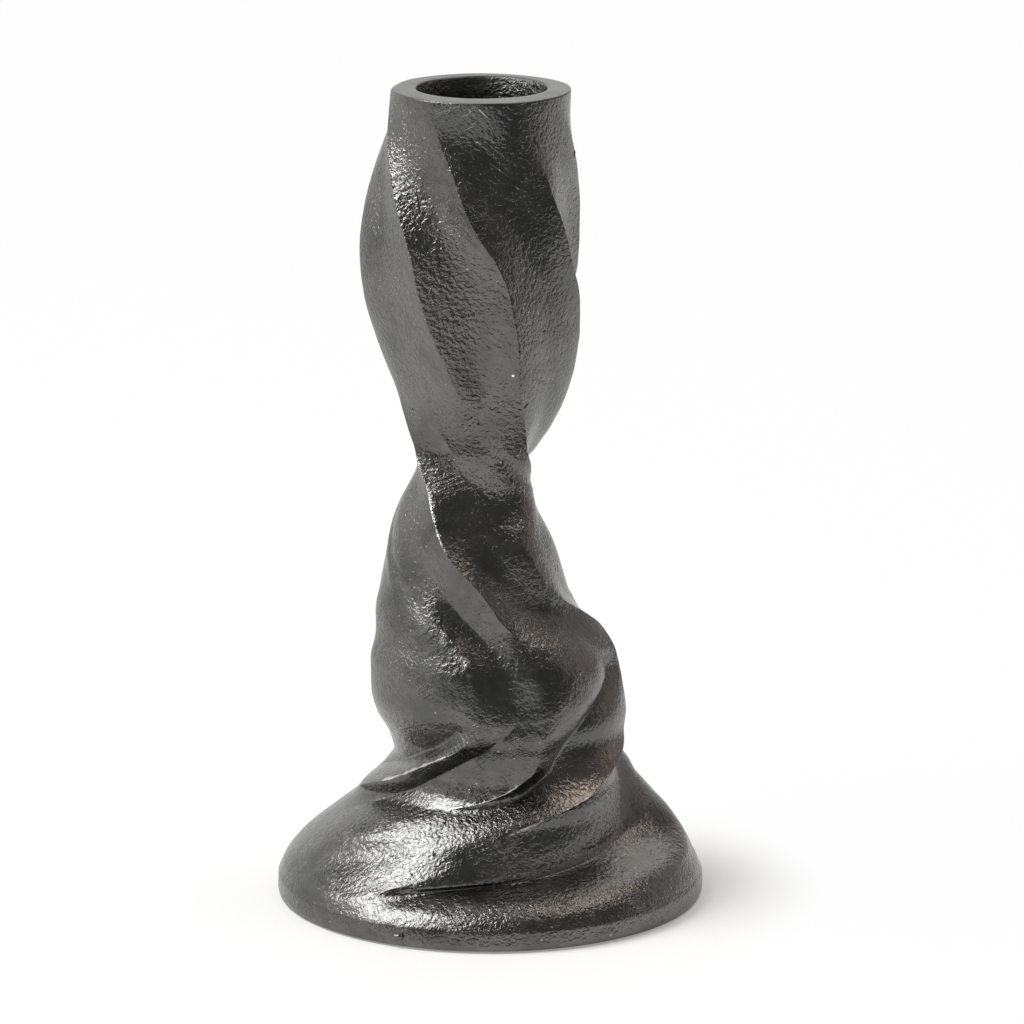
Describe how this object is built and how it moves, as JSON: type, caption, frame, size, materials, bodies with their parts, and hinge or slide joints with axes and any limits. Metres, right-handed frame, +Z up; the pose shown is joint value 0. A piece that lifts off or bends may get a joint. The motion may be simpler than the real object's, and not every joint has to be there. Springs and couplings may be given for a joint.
{
  "type": "candle holder",
  "caption": "Twisted cast candle holder: a fluted cup and waisted stem that flares into a folded round foot, with a bore for a dinner candle and a felt pad below.",
  "frame": {"origin": "middle of the underside of the felt pad, on the table that the holder stands on", "axes": "+Z up the stem and out of the candle bore, -Y to the front of the picture, +X to the right of the picture"},
  "size_m": [0.0837, 0.0837, 0.16],
  "materials": {
    "blackened_casting": "blackened as-cast skin with fine pebble and file marks; rim face machined smooth",
    "adhesive": "thin double sided film",
    "felt": "pressed wool felt"
  },
  "bodies": {
    "root": {"cast_body": "blackened_casting", "adhesive_film": "adhesive", "felt_pad": "felt"}
  },
  "joints": []
}
